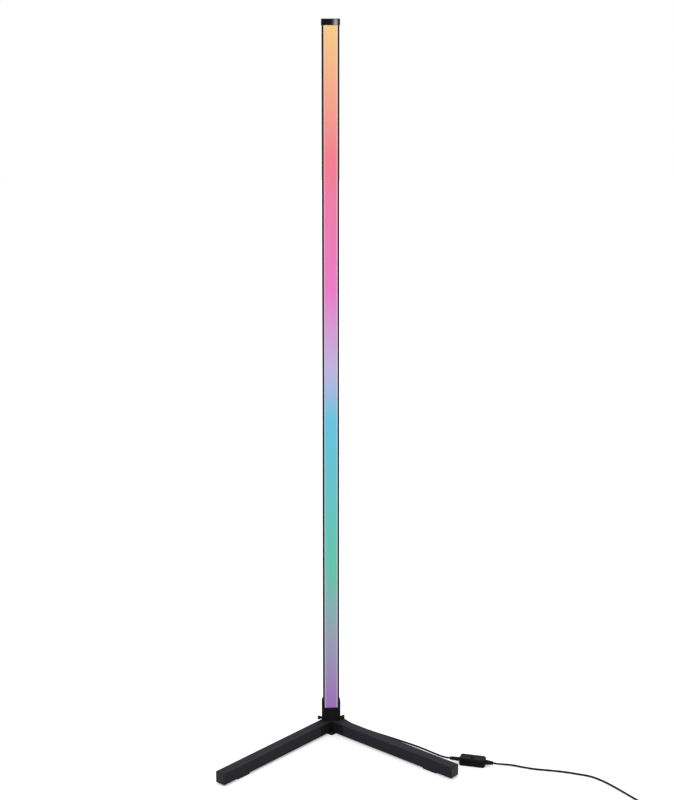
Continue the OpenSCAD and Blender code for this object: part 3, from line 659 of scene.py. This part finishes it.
def outer_of_cap(place):
    """Whether a point lies on the cap's outer wall, not on the inner one."""
    if abs(place.x) > CAP_HALF - 0.9 or place.y < CAP_FRONT + 0.75:
        return True
    centre_x, centre_y = CAP_HALF - BACK_CORNER, CAP_BACK - BACK_CORNER
    reach = math.hypot(max(abs(place.x) - centre_x, 0), place.y - centre_y)
    return place.y >= centre_y and reach > BACK_CORNER - CAP_WALL / 2


def make_cap():
    """A cup over the column's end, with a crowned front and a groove under its top."""
    cap = start_block("cap_moulding", (-CAP_HALF, CAP_FRONT, CAP_LOW),
                      (CAP_HALF, CAP_BACK, CAP_TOP))
    pick(cap, "EDGE", lambda e: runs(e, 2) and middle(e).y > 10)
    bevel(BACK_CORNER, 10)
    pick(cap, "EDGE", lambda e: runs(e, 2) and middle(e).y < -13)
    bevel(FRONT_CORNER, 4)
    for x in [-x for x, back in reversed(CROWN)] + [0] + [x for x, back in CROWN]:
        cut((x, 0, 0), (1, 0, 0))
    pick(cap, "FACE", lambda f: f.normal.z < -0.9)
    inset(CAP_WALL)
    pull(0, 0, CAP_DEEP)
    for side in (-1, 1):
        for x, back in CROWN:
            pick(cap, "VERT", lambda v: abs(middle(v).x - side * x) < 0.05
                 and middle(v).y < CAP_FRONT + 0.1)
            bpy.ops.transform.translate(value=(0, back * MM, 0))
        pick(cap, "VERT", lambda v: side * middle(v).x > 15 and middle(v).y < -11.5
             and (middle(v).y < CAP_FRONT + 0.7 or side * middle(v).x > CAP_HALF - 0.7))
        bpy.ops.transform.translate(value=(0, CROWN_ENDS * MM, 0))
    for z in GROOVE:
        cut((0, 0, z), (0, 0, 1))
    pick(cap, "FACE", lambda f: abs(f.normal.z) < 0.3
         and GROOVE[0] < middle(f).z < GROOVE[1] and outer_of_cap(middle(f)))
    inset(0.05, -0.4)
    pick(cap, "EDGE", lambda e: sharp(e) and middle(e).z > CAP_TOP - 0.05)
    bevel(CAP_RIM, 4)
    pick(cap, "EDGE", lambda e: sharp(e) and middle(e).z < CAP_LOW + 0.05)
    bevel(0.25, 2)
    for z in (CAP_LOW + 0.5, CAP_TOP - 1.1):     # keep the walls between the soft edges flat
        cut((0, 0, z), (0, 0, 1))
    leave()
    spigot = start_block("spigot", (-9.5, 1.2, CAP_LOW - 3), (9.5, 7.6, CAP_TOP - 1.9))
    pick(spigot, "EDGE", lambda e: runs(e, 2))
    bevel(1.5, 3)
    pick(spigot, "FACE", lambda f: f.normal.z < -0.9)
    inset(1.4)
    pull(0, 0, 9)
    leave()
    finish_piece(join(cap, spigot), "black_plastic", "lamp", "top_cap", finish="cap_gloss")


# ---------- the base ----------

LEG_REACH, LEG_HALF, LEG_LOW, LEG_TOP = 314.5, 11.3, 2.4, 25.4
RIGHT, LEFT = -45, -135        # the ways that the legs run


def make_end_caps():
    """A cap with a soft rim and a shallow panel, on a hollow plug that fills the tube's end."""
    face = start_block("right_tip", (LEG_REACH - 2.6, -LEG_HALF, LEG_LOW),
                       (LEG_REACH, LEG_HALF, LEG_TOP))
    pick(face, "EDGE", lambda e: runs(e, 0))
    bevel(1.8, 5)
    pick(face, "EDGE", lambda e: sharp(e) and middle(e).x > LEG_REACH - 0.05)
    bevel(1.55, 5)
    pick(face, "FACE", lambda f: f.normal.x > 0.999)
    inset(0.2, -0.25)
    pick(face, "EDGE", lambda e: sharp(e) and middle(e).x < LEG_REACH - 2.5)
    bevel(0.2, 2)
    leave()
    plug = start_block("plug", (LEG_REACH - 13.6, 1.75 - LEG_HALF, LEG_LOW + 1.75),
                       (LEG_REACH - 2.4, LEG_HALF - 1.75, LEG_TOP - 1.75))
    pick(plug, "FACE", lambda f: f.normal.x < -0.9)
    inset(1.6)
    pull(9, 0, 0)
    leave()
    tip = join(face, plug)
    other = twin_of(tip, "left_tip")
    settle(tip, (0, 0, 0), (0, 0, RIGHT))
    settle(other, (0, 0, 0), (0, 0, LEFT))
    finish_piece(tip, "black_plastic", "lamp", "right_end_cap")
    finish_piece(other, "black_plastic", "lamp", "left_end_cap")


FOOT_AT, FOOT_HALF = 260, (18, 10.4)       # how far out on the leg, and half its plan


def make_feet():
    """Rubber pads: one under each leg, with a stud into it, and a square one under the hub."""
    along, across = FOOT_HALF
    pad = start_block("right_pad", (FOOT_AT - along, -across, 0),
                      (FOOT_AT + along, across, LEG_LOW))
    pick(pad, "EDGE", lambda e: runs(e, 2))
    bevel(5, 8)
    pick(pad, "EDGE", lambda e: sharp(e) and middle(e).z > LEG_LOW - 0.05)
    bevel(0.3, 2)
    pick(pad, "EDGE", lambda e: sharp(e) and middle(e).z < 0.05)
    bevel(0.5, 3)
    pick(pad, "FACE", lambda f: f.normal.z < -0.99)
    inset(2)
    inset(0.4, -0.4)
    leave()
    stud = turned("stud", [(LEG_LOW - 0.4, 2.4), (LEG_LOW + 2.4, 2.45), (LEG_LOW + 3.2, 1.9)], 24)
    leave()
    settle(stud, (FOOT_AT, 0, 0))
    pad = join(pad, stud)
    other = twin_of(pad, "left_pad")
    settle(pad, (0, 0, 0), (0, 0, RIGHT))
    settle(other, (0, 0, 0), (0, 0, LEFT))
    finish_piece(pad, "rubber", "lamp", "right_foot")
    finish_piece(other, "rubber", "lamp", "left_foot")

    square = start_block("hub_pad", (-15, -15, 0), (15, 15, LEG_LOW))
    pick(square, "EDGE", lambda e: runs(e, 2))
    bevel(4, 6)
    pick(square, "EDGE", lambda e: sharp(e) and middle(e).z < 0.05)
    bevel(0.5, 3)
    pick(square, "FACE", lambda f: f.normal.z < -0.99)
    inset(3)
    inset(0.4, -0.4)
    leave()
    settle(square, (0, -7.5, 0), (0, 0, 45))
    finish_piece(square, "rubber", "lamp", "hub_foot")


SCREW_Y, SCREW_Z = -6, 29.6


def make_side_screws():
    """A knurled head with a slot, on a neck and a shank."""
    screw = turned("right_side_screw", [
        (4.5, 1.6), (4.9, 2), (18.6, 2), (18.6, 2.55), (21.1, 2.55), (21.1, 3.35), (21.5, 3.76),
        (26.1, 3.76), (26.6, 3.6), (27.1, 3.0)], 40)
    pick(screw, "FACE", lambda f: 21.6 < middle(f).z < 26)
    ring = sorted((f for f in bmesh.from_edit_mesh(screw.data).faces if f.select),
                  key=lambda f: math.atan2(middle(f).y, middle(f).x))
    for f in ring[::2]:
        f.select_set(False)
    bmesh.update_edit_mesh(screw.data)
    inset(0.08, -0.32, each=True)
    for side in (-1, 1):
        pick(screw, "FACE", lambda f: f.normal.z > 0.99)
        bpy.ops.mesh.bisect(plane_co=(side * 0.5 * MM, 0, 0), plane_no=(1, 0, 0),
                            threshold=1e-7)
    pick(screw, "FACE", lambda f: f.normal.z > 0.99 and abs(middle(f).x) < 0.3)
    pull(0, 0, -0.9)
    leave()
    other = twin_of(screw, "left_side_screw")
    settle(screw, (0, SCREW_Y, SCREW_Z), (0, 90, 0))
    settle(other, (0, SCREW_Y, SCREW_Z), (0, -90, 0))
    finish_piece(screw, "black_powder", "right_screw", "thumb_screw_right")
    finish_piece(other, "black_powder", "left_screw", "thumb_screw_left")


def softened(node, name, width, segments=2, least=40):
    """A copy of a solid with its sharp edges rounded, as a casting's or a bent tube's are."""
    make_active(nodes[node])
    bpy.ops.object.duplicate(linked=False)
    piece = bpy.context.object
    piece.name = piece.data.name = name
    for key in [k for k in piece.keys() if k.startswith("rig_")]:
        del piece[key]
    edit(piece)
    bpy.ops.mesh.select_all(action="SELECT")
    bpy.ops.mesh.remove_doubles(threshold=2e-6)
    bpy.ops.mesh.dissolve_limited(angle_limit=math.radians(1))
    leave()
    modifier = piece.modifiers.new("edges", "BEVEL")
    modifier.width, modifier.segments = width * MM, segments
    modifier.limit_method, modifier.angle_limit = "ANGLE", math.radians(least)
    modifier.use_clamp_overlap = True
    bpy.ops.object.modifier_apply(modifier=modifier.name)
    return piece


# ---------- the controller ----------

CTRL_X, CTRL_Y, CTRL_H, CTRL_SEAM = 25, 12, 15, 7.5
CTRL_CUT, CTRL_WALL = 3.2, 1.5
SCREW_X = 15


def cylinder_cutter(place, radius, length, turn=(0, 0, 0), sides=32):
    cutter = turned("cutter", [(-length / 2, radius), (length / 2, radius)], sides)
    leave()
    settle(cutter, place, turn)
    close_up(cutter)
    return cutter


def start_shell(name, low, high, outer):
    """Half of the controller's housing: cut corners and a wide soft edge away from the seam."""
    shell = start_block(name, (-CTRL_X, -CTRL_Y, low), (CTRL_X, CTRL_Y, high))
    pick(shell, "EDGE", lambda e: runs(e, 2))
    bevel(CTRL_CUT, 1)
    width, level, seam, way = outer
    pick(shell, "EDGE", lambda e: sharp(e) and abs(middle(e).z - level) < 0.05)
    bevel(width, 4)
    pick(shell, "FACE", lambda f: abs(f.normal.z) > 0.99 and abs(middle(f).z - seam) < 0.05)
    inset(CTRL_WALL)
    pull(0, 0, way)
    pick(shell, "EDGE", lambda e: sharp(e) and abs(middle(e).z - seam) < 0.05
         and (abs(middle(e).x) > CTRL_X - 0.7 or abs(middle(e).y) > CTRL_Y - 0.7
              or abs(middle(e).x) + abs(middle(e).y) > CTRL_X + CTRL_Y - CTRL_CUT - 1))
    bevel(0.22, 2)
    pick(shell, "EDGE", lambda e: sharp(e, 0.5) and e.calc_face_angle(0) < 1
         and abs(middle(e).z - seam) > 0.3
         and (abs(middle(e).x) > CTRL_X - 0.1 or abs(middle(e).y) > CTRL_Y - 0.1
              or abs(middle(e).z - level) < width))
    bevel(0.45, 3)
    leave()
    for side in (-1, 1):
        subtract(shell, cylinder_cutter((side * CTRL_X, 0, CTRL_SEAM), 3.05, 5, (0, 90, 0), 36))
    return shell


def make_controller():
    """The in-line controller: two shells, a round button and its ring."""
    cover = start_shell("controller_top", CTRL_SEAM + 0.1, CTRL_H,
                        (2.1, CTRL_H, CTRL_SEAM + 0.1, CTRL_H - CTRL_SEAM - 0.1 - CTRL_WALL))
    edit(cover)
    pick(cover, "FACE", lambda f: f.normal.z > 0.99 and middle(f).z > CTRL_H - 0.1)
    inset(1.6)
    inset(0.25, -0.25)
    leave()
    subtract(cover, cylinder_cutter((0, 0, CTRL_H), 3.47, 6, sides=40))
    edit(cover)
    pick(cover, "EDGE", lambda e: sharp(e) and middle(e).z > CTRL_H - 0.4
         and middle(e).xy.length < 3.6)
    bevel(0.3, 3)
    leave()
    base = start_shell("controller_bottom", 0, CTRL_SEAM - 0.1,
                       (0.9, 0, CTRL_SEAM - 0.1, CTRL_WALL + 0.1 - CTRL_SEAM))
    for side in (-1, 1):
        subtract(base, cylinder_cutter((side * SCREW_X, 0, 0), 2.1, 3.6, sides=24))
    button = turned("press_button", [
        (11.35, 1.5), (12.35, 1.5), (12.35, 4.4), (13.35, 4.4), (13.35, 3.4), (15.6, 3.4),
        (15.95, 3.3), (16.15, 3.0), (16.2, 2.6), (16.12, 2.1), (16.0, 1.4), (15.95, 0.6)], 40)
    leave()
    for piece in (cover, base, button):
        settle(piece, CTRL_AT, (0, 0, CTRL_TURN))
    finish_piece(cover, "controller_plastic", "lamp", "controller_cover")
    finish_piece(base, "controller_plastic", "lamp", "controller_base")
    finish_piece(button, "controller_plastic", "button", "controller_button")
    return cover, base, button


def boot_profile(start, length, root, tip, ribs):
    """A taper with ribs between two heights, as (height, radius) pairs."""
    pitch = length / (ribs + 0.5)
    out = [(start, root)]
    for i in range(ribs):
        z = start + (i + 0.55) * pitch
        r = root + (tip - root) * (z - start) / length
        out += [(z, r), (z + 0.18 * pitch, r - 0.5), (z + 0.42 * pitch, r - 0.55),
                (z + 0.6 * pitch, r - 0.1)]
    return out + [(start + length - 0.3, tip), (start + length, tip - 0.3)]


def make_boots():
    """Ribbed strain reliefs: one at each end of the controller, and one at the hub."""
    neck = [(22.1, 4.2), (23.5, 4.2), (23.5, 3.0), (25, 3.0)]
    towards_lamp = turned("lead_relief", neck + boot_profile(25, 19, 4.4, 3.7, 4), 32)
    leave()
    settle(towards_lamp, (0, 0, CTRL_SEAM), (0, -90, 0))
    settle(towards_lamp, CTRL_AT, (0, 0, CTRL_TURN))
    towards_plug = turned("cord_relief", neck + boot_profile(25, 15, 5.2, 3.5, 4), 32)
    leave()
    settle(towards_plug, (0, 0, CTRL_SEAM), (0, 90, 0))
    settle(towards_plug, CTRL_AT, (0, 0, CTRL_TURN))
    gland = turned("hub_gland", [(7.15, 4), (12.5, 4), (12.5, 5.2), (12.8, 5.5), (13.7, 5.5),
                                 (14, 5.2)] + boot_profile(14, GLAND_END - 14, 4.1, 2.9, 3),
                   32)
    leave()
    settle(gland, (0, 0, GLAND_Z), (-90, 0, 0))
    finish_piece(towards_lamp, "cord_black", "lamp", "lead_boot")
    finish_piece(towards_plug, "cord_black", "lamp", "cord_boot")
    finish_piece(gland, "rubber", "lamp", "cable_gland")
    return towards_lamp, towards_plug


# ---------- the plug and the coil's strap ----------

PLUG_X, PLUG_Y, PLUG_Z = PLUG_AT
GRIP_RIBS = [6 + 3.5 * i for i in range(3)]        # grooves, from the grip's back


def runs_across(edge):
    """Whether an edge runs across the plug's length."""
    return abs((edge.verts[1].co - edge.verts[0].co).normalized().x) < 0.1


def make_plug_grip():
    """A moulded grip with finger ribs and a thumb hollow, and a ribbed boot behind it."""
    back, front = PLUG_X - 6, PLUG_X - 28
    grip = start_block("moulded_grip", (front, PLUG_Y - 7.8, 0), (back, PLUG_Y + 7.8, 8))
    for rib in GRIP_RIBS:
        for edge in (-0.6, 0.6):
            cut((back - rib + edge, 0, 0), (1, 0, 0))
    pick(grip, "EDGE", lambda e: runs(e, 0))
    bevel(2, 4)
    pick(grip, "EDGE", lambda e: sharp(e, 0.3) and runs_across(e)
         and (middle(e).x > back - 0.05 or middle(e).x < front + 0.05))
    bevel(0.8, 3)
    for side in (-1, 1):
        pick(grip, "FACE", lambda f: f.normal.y * side > 0.7 and any(
            abs(middle(f).x - (back - rib)) < 0.5 for rib in GRIP_RIBS))
        inset(0.15, -0.5)
    pick(grip, "FACE", lambda f: f.normal.z > 0.99 and middle(f).x > front + 1)
    inset(1.6)
    inset(0.5, -0.35)
    pick(grip, "FACE", lambda f: f.normal.x < -0.99 and middle(f).x < front + 0.05)
    inset(1.0)
    leave()
    hole = start_block("hole", (front - 1, PLUG_Y - 6.05, PLUG_Z - 2.3),
                       (front + 4, PLUG_Y + 6.05, PLUG_Z + 2.3))
    leave()
    close_up(grip)
    subtract(grip, hole)
    boot = turned("boot", [(-2, 3.2)] + boot_profile(0, 6, 3.3, 2.6, 2), 32)
    leave()
    settle(boot, (PLUG_X - 6, PLUG_Y, PLUG_Z), (0, 90, 0))
    return finish_piece(join(grip, boot), "cord_black", "lamp", "plug_grip")


def make_strap():
    """A soft strap round the coil's turns, its end folded over on top."""
    left, right, half = 526.5, 543.5, 3.2
    near, far = COIL_CENTRE[1] - half, COIL_CENTRE[1] + half
    band = start_block("coil_strap", (left, near, 0), (right, far, 9.4))
    pick(band, "EDGE", lambda e: runs(e, 1))
    bevel(3.6, 6)
    pick(band, "FACE", lambda f: abs(f.normal.y) > 0.99)
    bpy.ops.mesh.delete(type="FACE")
    leave()
    close_up(band)
    make_active(band)
    wall = band.modifiers.new("wall", "SOLIDIFY")
    wall.thickness, wall.offset = 0.8 * MM, -1
    bpy.ops.object.modifier_apply(modifier=wall.name)
    flap = start_block("flap", (530, near, 9.3), (539.5, far, 10.05))
    pick(flap, "EDGE", lambda e: runs(e, 2) and middle(e).x < 531)
    bevel(2.4, 5)
    pick(flap, "EDGE", lambda e: sharp(e) and middle(e).z > 10)
    bevel(0.3, 2)
    leave()
    return finish_piece(join(band, flap), "rubber", "lamp", "coil_tie", finish="strap_weave")


make_cap()
make_end_caps()
make_feet()
make_side_screws()
hub = softened("hub", "hub_casting", 0.6)
# painted shade: the hub takes a darker copy of the legs' powder coat
finish_piece(hub, "black_powder", "lamp", "hub", smooth=38, finish="hub_shaded_coat")
ctrl_pieces = make_controller()
lead_relief, cord_relief = make_boots()
plug_grip = make_plug_grip()
strap = make_strap()


# ---------- floor and light ----------

def make_floor():
    """A plain white floor that keeps the lamp's shadow; from below it is clear."""
    bpy.ops.mesh.primitive_circle_add(vertices=96, radius=9, fill_type="NGON",
                                      location=(0, 0, 0))
    floor = bpy.context.object
    floor.name = "floor"
    material = bpy.data.materials.new("white_floor")
    material.use_nodes = True
    tree = material.node_tree
    tree.nodes.clear()
    out = tree.nodes.new("ShaderNodeOutputMaterial")
    seen = add(tree, "ShaderNodeLightPath")
    rays = add(tree, "ShaderNodeMath", {"operation": "MAXIMUM"},
               i0=seen.outputs["Is Camera Ray"], i1=seen.outputs["Is Glossy Ray"])
    rays = add(tree, "ShaderNodeMath", {"operation": "MAXIMUM"}, i0=rays.outputs[0],
               i1=seen.outputs["Is Transmission Ray"])
    matte = add(tree, "ShaderNodeBsdfDiffuse", Color=(0.8, 0.8, 0.8, 1))
    lift = add(tree, "ShaderNodeEmission", Color=(1, 1, 1, 1))
    place = tree.nodes.new("ShaderNodeTexCoord").outputs["Object"]
    away = add(tree, "ShaderNodeVectorMath", {"operation": "LENGTH"}, i0=place)
    lifted = add(tree, "ShaderNodeMapRange", {"interpolation_type": "SMOOTHSTEP"},
                 Value=away.outputs["Value"], From_Min=0.9, From_Max=3.5, To_Min=0.3,
                 To_Max=1.0)
    strength = add(tree, "ShaderNodeMath", {"operation": "MULTIPLY"}, i0=rays.outputs[0],
                   i1=lifted.outputs["Result"])
    tree.links.new(strength.outputs[0], lift.inputs["Strength"])
    both = add(tree, "ShaderNodeAddShader")
    tree.links.new(matte.outputs[0], both.inputs[0])
    tree.links.new(lift.outputs[0], both.inputs[1])
    side = tree.nodes.new("ShaderNodeNewGeometry")
    clear = tree.nodes.new("ShaderNodeBsdfTransparent")
    mixed = add(tree, "ShaderNodeMixShader", i0=side.outputs["Backfacing"])
    tree.links.new(both.outputs[0], mixed.inputs[1])
    tree.links.new(clear.outputs[0], mixed.inputs[2])
    tree.links.new(mixed.outputs[0], out.inputs["Surface"])
    floor.data.materials.append(material)


def make_world():
    """Soft white all round: plain light on the lamp, and white where a ray sees it."""
    world = bpy.data.worlds.new("studio")
    bpy.context.scene.world = world
    world.use_nodes = True
    tree = world.node_tree
    tree.nodes.clear()
    out = tree.nodes.new("ShaderNodeOutputWorld")
    seen = add(tree, "ShaderNodeLightPath")
    rays = add(tree, "ShaderNodeMath", {"operation": "MAXIMUM"},
               i0=seen.outputs["Is Camera Ray"], i1=seen.outputs["Is Glossy Ray"])
    rays = add(tree, "ShaderNodeMath", {"operation": "MAXIMUM"}, i0=rays.outputs[0],
               i1=seen.outputs["Is Transmission Ray"])
    level = add(tree, "ShaderNodeMapRange", Value=rays.outputs[0], To_Min=0.62, To_Max=1.0)
    glow = add(tree, "ShaderNodeBackground", Color=(1, 1, 1, 1),
               Strength=level.outputs["Result"])
    tree.links.new(glow.outputs[0], out.inputs["Surface"])


def make_lamp(name, place, target, size, power, mirrored=False):
    data = bpy.data.lights.new(name, "AREA")
    data.shape = "DISK"
    data.size = size
    data.energy = power
    lamp = bpy.data.objects.new(name, data)
    lamp.location = place
    lamp.visible_glossy = mirrored
    lamp.visible_diffuse = not mirrored
    lamp.rotation_euler = (Vector(target) - Vector(place)).to_track_quat("-Z", "Y").to_euler()
    bpy.context.scene.collection.objects.link(lamp)


make_floor()
make_world()
make_lamp("key_light", (-2.6, -2.8, 3.2), (0, 0, 0.6), 1.6, 82)
make_lamp("fill_light", (3.0, -2.2, 2.2), (0, 0, 0.5), 1.8, 18)
make_lamp("back_light", (0.8, 3.0, 2.6), (0, 0, 0.6), 1.4, 45)
make_lamp("top_light", (0.1, -0.1, 4.2), (0.1, -0.1, 0), 2.0, 40)
make_lamp("strip_light", (0.54, -3.46, 1.29), (0.01, 0, 1.394), 0.24, 12, mirrored=True)

bpy.context.scene.view_settings.view_transform = "Standard"
